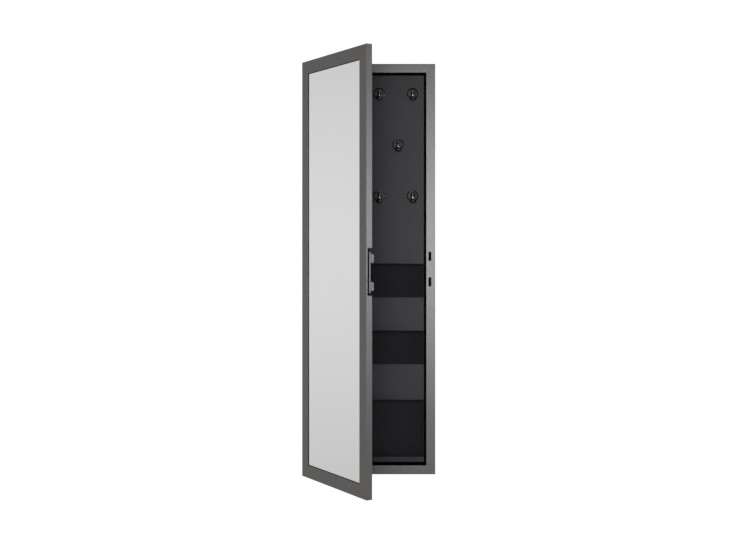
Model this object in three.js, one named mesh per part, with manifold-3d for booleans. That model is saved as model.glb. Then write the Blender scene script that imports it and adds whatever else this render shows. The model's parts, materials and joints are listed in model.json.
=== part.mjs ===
// Wall-mounted jewelry armoire: a slim metal cabinet with a framed mirror door.
// Millimetres. X runs to the right, Y into the wall and Z up. The origin is the centre of the
// back board's rear face, which rests on the wall. The door stands part open.

import * as THREE from 'three';
import { mergeVertices } from 'three/addons/utils/BufferGeometryUtils.js';
import Module from 'manifold-3d';

const wasm = await Module();
wasm.setup();

// ---- driving dimensions ----

const GAP = 0.3; // clearance left between pieces that touch

const CABINET_WIDTH = 370;
const CABINET_HEIGHT = 1200;
const CABINET_DEPTH = 62;
const CABINET_FACE = 26; // width of the profile seen from the front
const CABINET_WALL = 1.5;

const BACK_BOARD = 3.7;
const LINING_FRONT = 17; // height of the lined panel's face above the wall
const LINING_THICKNESS = 4.5;
const SIDE_LINING = 4.8;
const END_LINING = 1.8;
const LINING_SETBACK = 4; // side and end linings stop this far behind the cabinet's front

const DOOR_WIDTH = 370;
const DOOR_HEIGHT = 1202;
const DOOR_THICKNESS = 18;
const DOOR_FACE = 37;
const DOOR_TUBE = 25; // hollow part of the door profile, the rest is a lip over the mirror
const DOOR_WALL = 1.5;
const MIRROR_RECESS = 2;
const MIRROR_THICKNESS = 4;
const DOOR_GAP = 3; // closed door to cabinet front
const DOOR_OPEN_DEG = 59.2;

const HINGE_HEIGHTS = { top: 470, middle: 0, bottom: -470 };
const HINGE_LENGTH = 60;
const HINGE_LEAF_WIDTH = 20;
const HINGE_LEAF = 1;
const KNUCKLE_RADIUS = 3;
const KNUCKLE_BORE = 1.5;
const PIN_RADIUS = 1.2;
const PIVOT_OUTSIDE = KNUCKLE_RADIUS + GAP; // hinge axis beyond the cabinet's left side

const HOOK_BASE_RADIUS = 17;
const HOOK_BALL_RADIUS = 5;
const HOOK_ROWS = [519, 368, 216];
const HOOK_FIRST = 21.5; // rows one and three: right-hand hook nearest the centre line
const HOOK_SPACING = 98.5;

const POCKETS = {
  pocket_top: { top: 16, bottom: -85 },
  pocket_middle: { top: -181.5, bottom: -283 },
  pocket_bottom: { top: -386, bottom: -557 },
};
const POCKET_WALL = 1.6;
const POCKET_MOUTH = 14; // front to back at the top edge
const POCKET_BULGE = 18;

const HANGER_X = 120;
const HANGER_Z = 540;
const HANGER_WIDTH = 20;
const HANGER_HEIGHT = 44;
const HANGER_THICKNESS = 1.2;
const BATTEN_HEIGHT = 54;

const LATCH_SPACING = 74.6; // between the centres of the two hooks, and of the two slots
const LATCH_INSET = 14; // middle of the hook plate, in from the door's free edge
const LATCH_PLATE = 2;
const LATCH_HOOK_HEIGHT = 24;
const LATCH_HOOK_REACH = 12.9; // hook tip beyond the door's inner face
const LATCH_TRAVEL = 4;
const LATCH_REST = -LATCH_TRAVEL / 2; // the plate's spring holds it half way down
const LATCH_RECESS = 126;
const SLOT_WIDTH = 8.4;
const SLOT_HEIGHT = 26.4;
const SLOT_X = 169.3;

// ---- derived places ----

const FRONT = -CABINET_DEPTH;
const HALF_WIDTH = CABINET_WIDTH / 2;
const HALF_HEIGHT = CABINET_HEIGHT / 2;
const CAVITY_X = HALF_WIDTH - CABINET_FACE;
const CAVITY_Z = HALF_HEIGHT - CABINET_FACE;
const TUBE_BACK = -BACK_BOARD - GAP;
const LINING_FACE = -LINING_FRONT;
const PIVOT = new THREE.Vector3(-HALF_WIDTH - PIVOT_OUTSIDE, FRONT - DOOR_GAP / 2, 0);

// ---- materials ----

function material(color, roughness, metalness) {
  return new THREE.MeshStandardMaterial({ color, roughness, metalness });
}

const gunmetal = material('#7f7f82', 0.38, 0.8);
const steel = material('#a9a9ab', 0.3, 1);
const mirrorGlass = material('#d9dadb', 0.02, 1);
const blackPlastic = material('#101012', 0.35, 0);
const greyPlastic = material('#3a3a3c', 0.6, 0);
const liningFabric = material('#3c3b40', 0.9, 0);
const blackFelt = material('#161618', 0.95, 0);
const pocketFabric = material('#211f24', 0.85, 0);
const board = material('#2b2725', 0.8, 0);
const rubber = material('#1a1a1a', 0.9, 0);

// ---- shape helpers ----

const X_AXIS = new THREE.Vector3(1, 0, 0);
const Y_AXIS = new THREE.Vector3(0, 1, 0);
const Z_AXIS = new THREE.Vector3(0, 0, 1);

function outline(points) {
  return new THREE.Shape(points.map(([x, y]) => new THREE.Vector2(x, y)));
}

// A prism whose outline lies across the named axis. The outline's two coordinates are (x, y)
// along z, (x, z) along y, and (y, z) along x.
function prism(shape, axis, low, high, curveSegments = 6) {
  const geometry = new THREE.ExtrudeGeometry(shape, {
    depth: high - low,
    bevelEnabled: false,
    curveSegments,
  });
  const turn = new THREE.Matrix4();
  if (axis === 'x') {
    turn.makeBasis(Y_AXIS, Z_AXIS, X_AXIS).setPosition(low, 0, 0);
  } else if (axis === 'y') {
    turn.makeBasis(X_AXIS, Z_AXIS, Y_AXIS.clone().negate()).setPosition(0, high, 0);
  } else {
    turn.makeTranslation(0, 0, low);
  }
  return geometry.applyMatrix4(turn);
}

function box(x0, x1, y0, y1, z0, z1) {
  const geometry = new THREE.BoxGeometry(x1 - x0, y1 - y0, z1 - z0);
  return geometry.translate((x0 + x1) / 2, (y0 + y1) / 2, (z0 + z1) / 2);
}

function rod(radius, low, high, segments = 16) {
  const geometry = new THREE.CylinderGeometry(radius, radius, high - low, segments);
  return geometry.rotateX(Math.PI / 2).translate(0, 0, (low + high) / 2);
}

function solid(geometry) {
  const bare = geometry.clone();
  bare.deleteAttribute('normal');
  bare.deleteAttribute('uv');
  const merged = mergeVertices(bare, 1e-5);
  return new wasm.Manifold(new wasm.Mesh({
    numProp: 3,
    vertProperties: new Float32Array(merged.attributes.position.array),
    triVerts: new Uint32Array(merged.index.array),
  }));
}

function fromSolid(body) {
  const mesh = body.getMesh();
  const geometry = new THREE.BufferGeometry();
  geometry.setAttribute('position', new THREE.BufferAttribute(mesh.vertProperties, 3));
  geometry.setIndex(new THREE.BufferAttribute(mesh.triVerts, 1));
  geometry.computeVertexNormals();
  return geometry;
}

function cut(geometry, ...tools) {
  let body = solid(geometry);
  for (const tool of tools) {
    body = body.subtract(solid(tool));
  }
  return fromSolid(body);
}

function join(geometry, ...others) {
  let body = solid(geometry);
  for (const other of others) {
    body = body.add(solid(other));
  }
  return fromSolid(body);
}

function addPart(parent, name, geometry, look) {
  const mesh = new THREE.Mesh(geometry, look);
  mesh.name = name;
  parent.add(mesh);
  return mesh;
}

// ---- mitred frames ----

// The four sides of a frame, as turns about Y of a bar that stands at the left.
const SIDES = [
  { side: 'left', turn: 0 },
  { side: 'top', turn: Math.PI / 2 },
  { side: 'right', turn: Math.PI },
  { side: 'bottom', turn: -Math.PI / 2 },
];

// A bar standing at x = -reach, with its section's hollow running through and both ends mitred.
function mitredBar(section, hollow, reach, length, face, depthLow, depthHigh) {
  const half = length / 2;
  const trim = GAP / Math.SQRT2;
  const mitre = outline([
    [-reach, -half + trim],
    [-reach + face, -half + face + trim],
    [-reach + face, half - face - trim],
    [-reach, half - trim],
  ]);
  const margin = 1;
  const bar = solid(prism(section, 'z', -half, half));
  const bore = solid(prism(hollow, 'z', -half - margin, half + margin));
  const ends = solid(prism(mitre, 'y', depthLow - margin, depthHigh + margin));
  return fromSolid(bar.subtract(bore).intersect(ends));
}

// An L-shaped key that joins two bars inside their hollows, drawn for the top left corner.
function cornerKey(reachX, reachZ, inset, width, armLength, depthLow, depthHigh) {
  const left = -reachX + inset;
  const top = reachZ - inset;
  const shape = outline([
    [left, top],
    [left, top - armLength],
    [left + width, top - armLength],
    [left + width, top - width],
    [left + armLength, top - width],
    [left + armLength, top],
  ]);
  return prism(shape, 'y', depthLow, depthHigh);
}

function addCornerKeys(parent, prefix, makeKey, halfWidth, halfHeight, look) {
  const corners = [
    { corner: 'top_left', turn: 0, reachX: halfWidth, reachZ: halfHeight },
    { corner: 'top_right', turn: Math.PI / 2, reachX: halfHeight, reachZ: halfWidth },
    { corner: 'bottom_right', turn: Math.PI, reachX: halfWidth, reachZ: halfHeight },
    { corner: 'bottom_left', turn: -Math.PI / 2, reachX: halfHeight, reachZ: halfWidth },
  ];
  for (const { corner, turn, reachX, reachZ } of corners) {
    const key = addPart(parent, `${prefix}_${corner}`, makeKey(reachX, reachZ), look);
    key.rotation.y = turn;
  }
}

// ---- cabinet ----

function cabinetBar(reach, length) {
  const inner = -reach + CABINET_FACE;
  const section = outline([
    [-reach, FRONT],
    [inner, FRONT],
    [inner, TUBE_BACK],
    [-reach, TUBE_BACK],
  ]);
  const hollow = outline([
    [-reach + CABINET_WALL, FRONT + CABINET_WALL],
    [inner - CABINET_WALL, FRONT + CABINET_WALL],
    [inner - CABINET_WALL, TUBE_BACK - CABINET_WALL],
    [-reach + CABINET_WALL, TUBE_BACK - CABINET_WALL],
  ]);
  return mitredBar(section, hollow, reach, length, CABINET_FACE, FRONT, TUBE_BACK);
}

// The latch keeper shows through a window in the cabinet's right side.
const KEEPER_HALF = 61.4;
const KEEPER_WINDOW = { low: FRONT + 6, high: FRONT + 18 };
const KEEPER_BACK = FRONT + 19;

// The right stile is drawn standing at the left, so its cuts are drawn mirrored too.
function slottedStile() {
  const slots = [-1, 1].map((way) => {
    const middle = (way * LATCH_SPACING) / 2;
    const side = SLOT_WIDTH / 2;
    return box(
      -SLOT_X - side, -SLOT_X + side,
      FRONT - 1, FRONT + CABINET_WALL + 1,
      middle - SLOT_HEIGHT / 2, middle + SLOT_HEIGHT / 2,
    );
  });
  const window = box(
    -HALF_WIDTH - 1, -HALF_WIDTH + CABINET_WALL + 0.5,
    KEEPER_WINDOW.low, KEEPER_WINDOW.high,
    -KEEPER_HALF, KEEPER_HALF,
  );
  return cut(cabinetBar(HALF_WIDTH, CABINET_HEIGHT), ...slots, window);
}

// An open-fronted box behind the two slots, with a raised face that fills the side window.
function latchKeeper() {
  const wall = 1.3;
  const left = CAVITY_X + CABINET_WALL + GAP;
  const right = HALF_WIDTH - CABINET_WALL - GAP;
  const front = FRONT + CABINET_WALL + GAP;
  const half = KEEPER_HALF - GAP;
  const shell = box(left, right, front, KEEPER_BACK, -half, half);
  const face = box(
    right - 0.1, HALF_WIDTH - 0.2,
    KEEPER_WINDOW.low + GAP, KEEPER_WINDOW.high - GAP,
    -half, half,
  );
  const inside = box(
    left + wall, right - wall,
    front - 1, KEEPER_BACK - wall,
    -half + wall, half - wall,
  );
  return cut(join(shell, face), inside);
}

function addCabinetFrame(parent) {
  for (const { side, turn } of SIDES) {
    const upright = side === 'left' || side === 'right';
    const name = `cabinet_${upright ? 'stile' : 'rail'}_${side}`;
    const reach = upright ? HALF_WIDTH : HALF_HEIGHT;
    const length = upright ? CABINET_HEIGHT : CABINET_WIDTH;
    const geometry = side === 'right' ? slottedStile() : cabinetBar(reach, length);
    addPart(parent, name, geometry, gunmetal).rotation.y = turn;
  }
  const keyLow = FRONT + CABINET_WALL + GAP;
  const keyWidth = CABINET_FACE - 2 * CABINET_WALL - 2 * GAP;
  const keyInset = CABINET_WALL + GAP;
  const keyArm = 60;
  const keyDepth = 10;
  const makeKey = (reachX, reachZ) => cornerKey(
    reachX, reachZ, keyInset, keyWidth, keyArm, keyLow, keyLow + keyDepth,
  );
  addCornerKeys(parent, 'cabinet_corner_key', makeKey, HALF_WIDTH, HALF_HEIGHT, greyPlastic);
}

// Keyhole plate: a round hole for the screw head and a narrower slot above it.
function hangerPlate() {
  const half = HANGER_WIDTH / 2;
  const shape = outline([
    [-half, -HANGER_HEIGHT / 2],
    [half, -HANGER_HEIGHT / 2],
    [half, HANGER_HEIGHT / 2],
    [-half, HANGER_HEIGHT / 2],
  ]);
  const headRadius = 4.8;
  const slotHalf = 2.4;
  const holeZ = -6;
  const slotTop = 8;
  const cornerAngle = Math.acos(slotHalf / headRadius);
  const keyhole = new THREE.Path();
  keyhole.moveTo(slotHalf, slotTop);
  keyhole.absarc(0, slotTop, slotHalf, 0, Math.PI, false);
  keyhole.lineTo(-slotHalf, holeZ + headRadius * Math.sin(cornerAngle));
  keyhole.absarc(0, holeZ, headRadius, Math.PI - cornerAngle, 2 * Math.PI + cornerAngle, false);
  keyhole.lineTo(slotHalf, slotTop);
  shape.holes.push(keyhole);
  return prism(shape, 'y', -GAP - HANGER_THICKNESS, -GAP);
}

function addBack(parent) {
  const recesses = [];
  const windowHalf = { x: 6.5, z: 15 };
  for (const [row, rowSign] of [['top', 1], ['bottom', -1]]) {
    const screwWindows = [];
    for (const [side, sideSign] of [['left', -1], ['right', 1]]) {
      const x = sideSign * HANGER_X;
      const z = rowSign * HANGER_Z;
      const plate = addPart(parent, `hanger_plate_${row}_${side}`, hangerPlate(), steel);
      plate.position.set(x, 0, z);
      recesses.push(box(
        x - HANGER_WIDTH / 2 - GAP, x + HANGER_WIDTH / 2 + GAP,
        -HANGER_THICKNESS - 2 * GAP, 1,
        z - HANGER_HEIGHT / 2 - GAP, z + HANGER_HEIGHT / 2 + GAP,
      ));
      screwWindows.push(box(
        x - windowHalf.x, x + windowHalf.x,
        LINING_FACE, 1,
        z - windowHalf.z, z + windowHalf.z,
      ));
    }
    recesses.push(...screwWindows);
    const batten = box(
      -CAVITY_X + GAP, CAVITY_X - GAP,
      LINING_FACE + LINING_THICKNESS + GAP, TUBE_BACK,
      rowSign * HANGER_Z - BATTEN_HEIGHT / 2, rowSign * HANGER_Z + BATTEN_HEIGHT / 2,
    );
    addPart(parent, `hanging_batten_${row}`, cut(batten, ...screwWindows), board);
  }
  const sheet = box(
    -HALF_WIDTH + GAP, HALF_WIDTH - GAP,
    -BACK_BOARD, 0,
    -HALF_HEIGHT + GAP, HALF_HEIGHT - GAP,
  );
  addPart(parent, 'back_board', cut(sheet, ...recesses), board);
}

function addLinings(parent) {
  const halfX = CAVITY_X - GAP;
  const halfZ = CAVITY_Z - GAP;
  const sheetFront = FRONT + LINING_SETBACK;
  const sheetBack = LINING_FACE - GAP;
  addPart(parent, 'lining_panel', box(
    -halfX, halfX, LINING_FACE, LINING_FACE + LINING_THICKNESS, -halfZ, halfZ,
  ), liningFabric);
  for (const [row, sign] of [['top', 1], ['bottom', -1]]) {
    const edges = [sign * halfZ, sign * (halfZ - END_LINING)];
    addPart(parent, `${row}_lining`, box(
      -halfX, halfX, sheetFront, sheetBack, Math.min(...edges), Math.max(...edges),
    ), blackFelt);
  }
  const sideHalfZ = halfZ - END_LINING - GAP;
  for (const [side, sign] of [['left', -1], ['right', 1]]) {
    const edges = [sign * halfX, sign * (halfX - SIDE_LINING)];
    addPart(parent, `side_lining_${side}`, box(
      Math.min(...edges), Math.max(...edges), sheetFront, sheetBack, -sideHalfZ, sideHalfZ,
    ), blackFelt);
  }
}

// ---- jewelry hooks and pockets ----

// A round base with a broad J that sweeps down, out and up to a ball.
function jewelryHook() {
  const baseThickness = 3;
  const back = LINING_FACE - GAP;
  const base = new THREE.CylinderGeometry(
    HOOK_BASE_RADIUS - 1, HOOK_BASE_RADIUS, baseThickness, 24,
  );
  base.rotateX(Math.PI).translate(0, back - baseThickness / 2, 0);
  const curve = new THREE.CatmullRomCurve3([
    new THREE.Vector3(0, back - 3.3, -7),
    new THREE.Vector3(0, back - 8, -15),
    new THREE.Vector3(0, back - 15.5, -19),
    new THREE.Vector3(0, back - 22.5, -15),
    new THREE.Vector3(0, back - 26, -6),
    new THREE.Vector3(0, back - 26.5, 2.5),
  ]);
  const section = new THREE.Shape();
  section.absellipse(0, 0, 7.5, 3.3, 0, 2 * Math.PI, false, 0);
  const arm = new THREE.ExtrudeGeometry(section, {
    steps: 11,
    curveSegments: 5,
    extrudePath: curve,
    bevelEnabled: false,
  });
  const ball = new THREE.SphereGeometry(HOOK_BALL_RADIUS, 12, 8);
  ball.translate(0, back - 26.5, 3.5);
  return join(base, arm, ball);
}

function addHooks(parent) {
  const shape = jewelryHook();
  let number = 0;
  HOOK_ROWS.forEach((z, row) => {
    const mirrored = row % 2 === 1 ? -1 : 1;
    for (const column of [-1, 0, 1]) {
      number += 1;
      const x = mirrored * (HOOK_FIRST + mirrored * column * HOOK_SPACING);
      addPart(parent, `jewelry_hook_${number}`, shape, blackPlastic).position.set(x, 0, z);
    }
  });
}

// An open-topped fabric pocket across the whole cavity, fuller in its lower half.
function pocketShell(top, bottom) {
  const back = LINING_FACE - GAP;
  const middle = (top + bottom) / 2;
  const section = (inset, rim) => outline([
    [back - inset, rim],
    [back - POCKET_MOUTH + inset, rim],
    [back - POCKET_BULGE + inset, middle],
    [back - POCKET_BULGE + 3 + inset, bottom + 10 + inset],
    [back - POCKET_BULGE + 8 + inset / 2, bottom + inset],
    [back - inset, bottom + inset],
  ]);
  const half = CAVITY_X - SIDE_LINING - 3 * GAP;
  const outer = prism(section(0, top), 'x', -half, half);
  const inner = prism(section(POCKET_WALL, top + 1), 'x', -half + POCKET_WALL, half - POCKET_WALL);
  return cut(outer, inner);
}

function addPockets(parent) {
  for (const [name, { top, bottom }] of Object.entries(POCKETS)) {
    addPart(parent, name, pocketShell(top, bottom), pocketFabric);
  }
}

// ---- hinges ----

function hingeLeaf(near, far, knuckles) {
  const reach = PIVOT_OUTSIDE + 0.1;
  const low = Math.min(near, far);
  const high = Math.max(near, far);
  const pieces = [box(
    reach, reach + HINGE_LEAF_WIDTH, low, high, -HINGE_LENGTH / 2, HINGE_LENGTH / 2,
  )];
  for (const [from, to] of knuckles) {
    pieces.push(rod(KNUCKLE_RADIUS, from, to));
    pieces.push(box(KNUCKLE_BORE + 0.5, reach + 1, low, high, from, to));
  }
  return cut(join(...pieces), rod(KNUCKLE_BORE, -HINGE_LENGTH, HINGE_LENGTH));
}

function hingePin() {
  const half = HINGE_LENGTH / 2;
  const head = 1;
  const profile = [
    [0, -half - GAP - head],
    [PIN_RADIUS + 1, -half - GAP - head],
    [PIN_RADIUS + 1, -half - GAP],
    [PIN_RADIUS, -half - GAP],
    [PIN_RADIUS, half + GAP],
    [PIN_RADIUS + 1, half + GAP],
    [PIN_RADIUS + 1, half + GAP + head],
    [0, half + GAP + head],
  ].map(([radius, height]) => new THREE.Vector2(radius, height));
  return new THREE.LatheGeometry(profile, 16).rotateX(Math.PI / 2);
}

function addHinges(cabinet, door) {
  const half = HINGE_LENGTH / 2;
  const split = half / 3;
  const far = DOOR_GAP / 2 - GAP;
  const near = far - HINGE_LEAF;
  const cabinetKnuckles = [[-half, -split - GAP / 2], [split + GAP / 2, half]];
  const doorKnuckles = [[-split + GAP / 2, split - GAP / 2]];
  const cabinetLeaf = hingeLeaf(near, far, cabinetKnuckles);
  const doorLeaf = hingeLeaf(-near, -far, doorKnuckles);
  const pin = hingePin();
  for (const [place, z] of Object.entries(HINGE_HEIGHTS)) {
    const leaf = addPart(cabinet, `hinge_${place}_cabinet_leaf`, cabinetLeaf, steel);
    leaf.position.set(PIVOT.x, PIVOT.y, z);
    addPart(cabinet, `hinge_${place}_pin`, pin, steel).position.set(PIVOT.x, PIVOT.y, z);
    addPart(door, `hinge_${place}_door_leaf`, doorLeaf, steel).position.z = z;
  }
}

// ---- door ----
// The door's own frame has X across the door from its centre and Y from its front face inward.

const DOOR_HALF_WIDTH = DOOR_WIDTH / 2;
const DOOR_HALF_HEIGHT = DOOR_HEIGHT / 2;
const RECESS_FRONT = 3.7; // the latch recess starts this far behind the door's front face

function doorBar(reach, length) {
  const tube = -reach + DOOR_TUBE;
  const section = outline([
    [-reach, 0],
    [-reach + DOOR_FACE, 0],
    [-reach + DOOR_FACE, MIRROR_RECESS],
    [tube, MIRROR_RECESS],
    [tube, DOOR_THICKNESS],
    [-reach, DOOR_THICKNESS],
  ]);
  const hollow = outline([
    [-reach + DOOR_WALL, DOOR_WALL],
    [tube - DOOR_WALL, DOOR_WALL],
    [tube - DOOR_WALL, DOOR_THICKNESS - DOOR_WALL],
    [-reach + DOOR_WALL, DOOR_THICKNESS - DOOR_WALL],
  ]);
  return mitredBar(section, hollow, reach, length, DOOR_FACE, 0, DOOR_THICKNESS);
}

// The free stile is drawn standing at the left; the recess is cut into its outer edge.
function recessedStile() {
  const recess = box(
    -DOOR_HALF_WIDTH - 1, -DOOR_HALF_WIDTH + DOOR_TUBE - DOOR_WALL,
    RECESS_FRONT, DOOR_THICKNESS + 1,
    -LATCH_RECESS / 2, LATCH_RECESS / 2,
  );
  return cut(doorBar(DOOR_HALF_WIDTH, DOOR_HEIGHT), recess);
}

function addDoorFrame(parent) {
  const names = {
    left: 'door_stile_hinge_side',
    top: 'door_rail_top',
    right: 'door_stile_latch_side',
    bottom: 'door_rail_bottom',
  };
  for (const { side, turn } of SIDES) {
    const upright = side === 'left' || side === 'right';
    const reach = upright ? DOOR_HALF_WIDTH : DOOR_HALF_HEIGHT;
    const length = upright ? DOOR_HEIGHT : DOOR_WIDTH;
    const geometry = side === 'right' ? recessedStile() : doorBar(reach, length);
    addPart(parent, names[side], geometry, gunmetal).rotation.y = turn;
  }
  const inset = DOOR_WALL + GAP;
  const keyWidth = DOOR_TUBE - 2 * inset;
  const keyArm = 50;
  const keyDepth = 10;
  const makeKey = (reachX, reachZ) => cornerKey(
    reachX, reachZ, inset, keyWidth, keyArm, inset, inset + keyDepth,
  );
  addCornerKeys(
    parent, 'door_corner_key', makeKey, DOOR_HALF_WIDTH, DOOR_HALF_HEIGHT, greyPlastic,
  );
}

function addDoorPanels(parent) {
  const halfX = DOOR_HALF_WIDTH - DOOR_TUBE - GAP;
  const halfZ = DOOR_HALF_HEIGHT - DOOR_TUBE - GAP;
  const backingThickness = 3;
  const panelThickness = 4;
  const panelSetback = 0.5;
  const glassFront = MIRROR_RECESS + GAP;
  const backingFront = glassFront + MIRROR_THICKNESS + GAP;
  const panelBack = DOOR_THICKNESS - panelSetback;
  const layers = [
    ['mirror_glass', glassFront, MIRROR_THICKNESS, mirrorGlass],
    ['mirror_backing_board', backingFront, backingThickness, board],
    ['door_inner_panel', panelBack - panelThickness, panelThickness, liningFabric],
  ];
  for (const [name, front, thickness, look] of layers) {
    addPart(parent, name, box(-halfX, halfX, front, front + thickness, -halfZ, halfZ), look);
  }
}

function addBumpers(parent) {
  const bumperRadius = 4.5;
  const bumperHeight = DOOR_GAP - 2 * GAP;
  const fromEdge = 12;
  const fromEnd = 40;
  for (const [row, sign] of [['top', 1], ['bottom', -1]]) {
    const bumper = new THREE.CylinderGeometry(
      bumperRadius - 0.8, bumperRadius, bumperHeight, 16,
    );
    bumper.translate(0, bumperHeight / 2, 0);
    const mesh = addPart(parent, `door_bumper_${row}`, bumper, rubber);
    mesh.position.set(
      DOOR_HALF_WIDTH - fromEdge, DOOR_THICKNESS + GAP, sign * (DOOR_HALF_HEIGHT - fromEnd),
    );
  }
}

// ---- latch ----

const PLATE_MIDDLE = DOOR_HALF_WIDTH - LATCH_INSET;
const PLATE_LOW = 9; // depth at which the latch plate's guided edge runs
const PLATE_HIGH = DOOR_THICKNESS + DOOR_GAP - 0.4;
const PLATE_HALF = 55;

// The black recess in the door's edge: a finger cup whose floor holds the sliding plate.
function latchCase() {
  const left = DOOR_HALF_WIDTH - DOOR_TUBE + DOOR_WALL + 0.5;
  const right = DOOR_HALF_WIDTH - 0.6;
  const floor = PLATE_MIDDLE + LATCH_PLATE / 2 + 2;
  const half = LATCH_RECESS / 2 - GAP;
  const wall = 1.6;
  const lipEnd = 15.2;
  const back = DOOR_THICKNESS - GAP;
  const body = box(left, right, RECESS_FRONT + GAP, back, -half, half);
  const fingerCup = box(
    floor, right + 1,
    RECESS_FRONT + GAP + 1.2, back + 1,
    -half + wall, half - wall,
  );
  const channel = box(
    PLATE_MIDDLE - LATCH_PLATE / 2 - GAP, PLATE_MIDDLE + LATCH_PLATE / 2 + GAP,
    PLATE_LOW - GAP, back + 1,
    -half + wall, half - wall,
  );
  const lip = box(
    PLATE_MIDDLE, floor + 1,
    lipEnd, back + 1,
    -half + wall, half - wall,
  );
  return cut(body, fingerCup, channel, lip);
}

// A flat plate with two hooks. Each hook is notched at its root, so that it drops behind the
// cabinet's front wall when the plate slides down.
function latchBar() {
  const half = LATCH_HOOK_HEIGHT / 2;
  const tip = DOOR_THICKNESS + LATCH_HOOK_REACH;
  const corner = 5;
  const notchFar = DOOR_THICKNESS + DOOR_GAP + CABINET_WALL + 0.6;
  const notchTop = half - LATCH_TRAVEL + 0.7;
  const shape = new THREE.Shape();
  shape.moveTo(PLATE_LOW, -PLATE_HALF);
  shape.lineTo(PLATE_HIGH, -PLATE_HALF);
  for (const middle of [-LATCH_SPACING / 2, LATCH_SPACING / 2]) {
    shape.lineTo(PLATE_HIGH, middle - notchTop);
    shape.lineTo(notchFar, middle - notchTop);
    shape.lineTo(notchFar, middle - half);
    shape.lineTo(tip - corner, middle - half);
    shape.absarc(tip - corner, middle - half + corner, corner, -Math.PI / 2, 0, false);
    shape.lineTo(tip, middle + half - corner);
    shape.absarc(tip - corner, middle + half - corner, corner, 0, Math.PI / 2, false);
    shape.lineTo(PLATE_HIGH, middle + half);
  }
  shape.lineTo(PLATE_HIGH, PLATE_HALF);
  shape.lineTo(PLATE_LOW, PLATE_HALF);
  shape.closePath();
  return prism(shape, 'x', PLATE_MIDDLE - LATCH_PLATE / 2, PLATE_MIDDLE + LATCH_PLATE / 2);
}

// ---- assembly ----

const armoire = new THREE.Group();
const cabinet = new THREE.Group();
const swing = new THREE.Group(); // turns about the hinge axis
const door = new THREE.Group(); // the door's own frame, carried by the swing
armoire.add(cabinet, swing);
swing.add(door);
swing.position.copy(PIVOT);
swing.rotation.z = -THREE.MathUtils.degToRad(DOOR_OPEN_DEG);
door.position.set(PIVOT_OUTSIDE + DOOR_HALF_WIDTH, -DOOR_GAP / 2 - DOOR_THICKNESS, 0);

addCabinetFrame(cabinet);
addPart(cabinet, 'latch_keeper', latchKeeper(), blackPlastic);
addBack(cabinet);
addLinings(cabinet);
addHooks(cabinet);
addPockets(cabinet);
addHinges(cabinet, swing);
addDoorFrame(door);
addDoorPanels(door);
addBumpers(door);
addPart(door, 'latch_case', latchCase(), blackPlastic);
addPart(door, 'latch_bar', latchBar(), steel).position.z = LATCH_REST;

export default armoire;
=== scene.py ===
"""Looks for the wall-hung jewelry armoire: finished edges, moulded hooks, cloth pockets,
materials, studio light and camera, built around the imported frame. Metres."""

import json
import math

import bmesh
import bpy
from mathutils import Matrix, Vector


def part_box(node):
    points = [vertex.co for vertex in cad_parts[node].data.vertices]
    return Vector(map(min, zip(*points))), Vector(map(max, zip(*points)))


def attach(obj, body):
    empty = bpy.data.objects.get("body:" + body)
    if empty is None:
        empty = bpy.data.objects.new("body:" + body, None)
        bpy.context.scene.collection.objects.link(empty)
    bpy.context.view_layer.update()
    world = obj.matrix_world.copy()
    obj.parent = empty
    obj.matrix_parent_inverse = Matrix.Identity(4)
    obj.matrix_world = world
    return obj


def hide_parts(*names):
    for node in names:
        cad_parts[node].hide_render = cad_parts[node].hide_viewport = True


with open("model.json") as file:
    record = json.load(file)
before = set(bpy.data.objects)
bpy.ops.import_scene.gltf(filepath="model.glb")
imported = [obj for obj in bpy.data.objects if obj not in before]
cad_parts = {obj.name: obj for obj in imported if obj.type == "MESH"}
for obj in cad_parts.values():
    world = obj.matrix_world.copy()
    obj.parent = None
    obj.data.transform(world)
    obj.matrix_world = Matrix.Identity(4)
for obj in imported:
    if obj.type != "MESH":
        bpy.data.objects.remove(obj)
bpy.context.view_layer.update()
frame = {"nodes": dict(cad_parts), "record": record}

NODES = frame["nodes"]
MM = 0.001


# ---- places taken from the frame ----

CABINET_LOW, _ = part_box("cabinet_stile_left")
FRONT_Y = CABINET_LOW.y
LINING_LOW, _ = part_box("lining_panel")
LINING_Y = LINING_LOW.y

BODY_OF = {
    node: body
    for body, nodes in frame["record"]["behaviour"]["bodies"].items()
    for node in nodes
}
SLOT_OF = {part["node"]: part["material_slot"] for part in frame["record"]["subparts"]}


# ---- material building ----

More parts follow.
